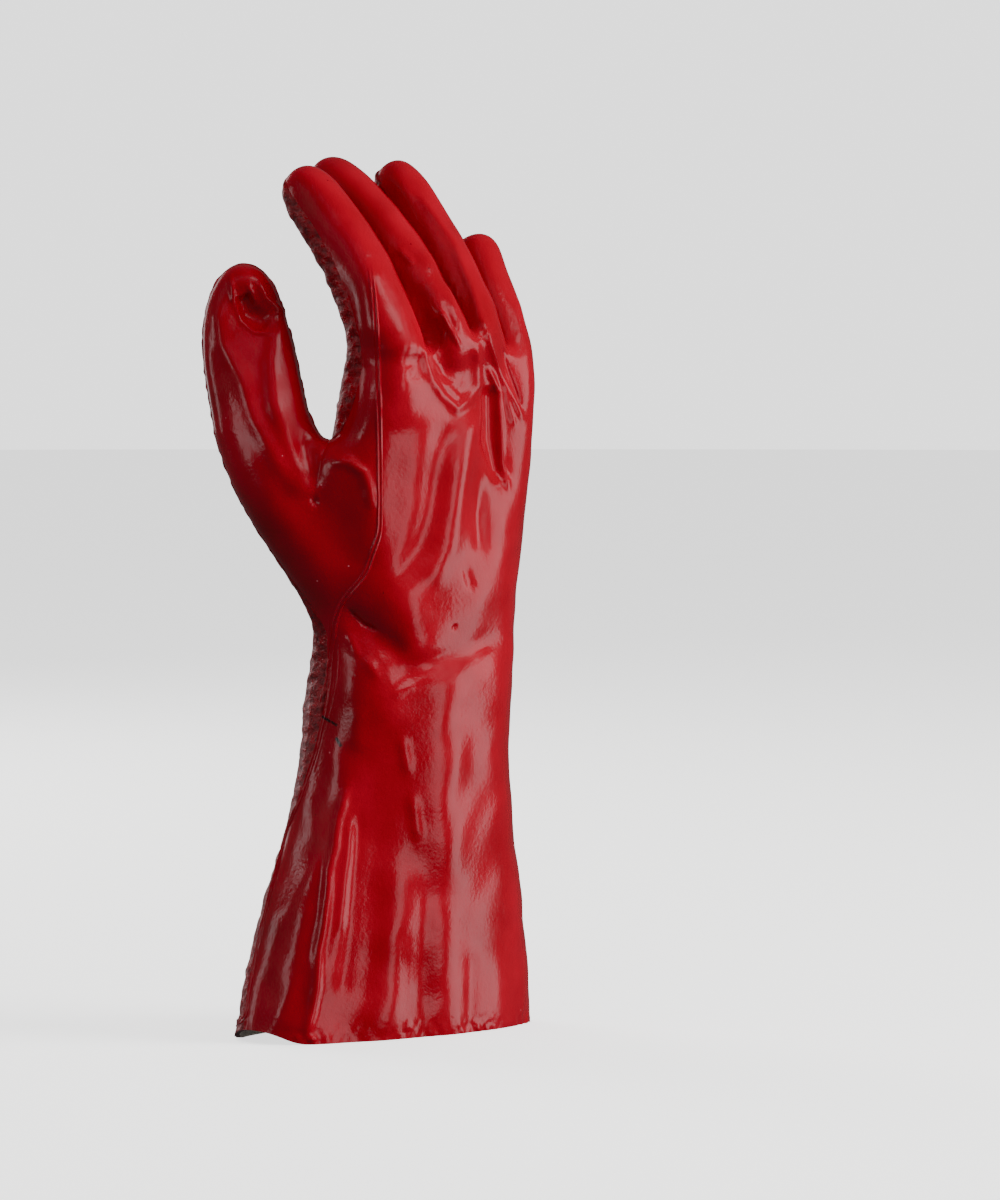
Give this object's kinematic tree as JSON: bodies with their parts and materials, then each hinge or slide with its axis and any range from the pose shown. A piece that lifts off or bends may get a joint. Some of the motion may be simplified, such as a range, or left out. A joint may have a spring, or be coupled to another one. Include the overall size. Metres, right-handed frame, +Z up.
{
  "type": "pvc coated work glove",
  "caption": "Right-hand open-cuff gauntlet work glove with a glossy PVC-coated back and a rough crinkled palm, standing on its cuff with curved fingers.",
  "frame": {"origin": "on the surface it stands on, under the middle of the glove's bounding box", "axes": "+Z up from the cuff's open edge to the fingertips, -Y out of the back of the hand, +Y out of the palm, -X to the thumb side"},
  "size_m": [0.1386, 0.0744, 0.3269],
  "materials": {
    "smooth_pvc": "smooth glossy soft PVC coat, deep red",
    "rough_pvc": "rough crinkled soft PVC grip coat, darker red"
  },
  "bodies": {
    "root": {"back_panel": "smooth_pvc", "palm_panel": "rough_pvc"}
  },
  "joints": []
}
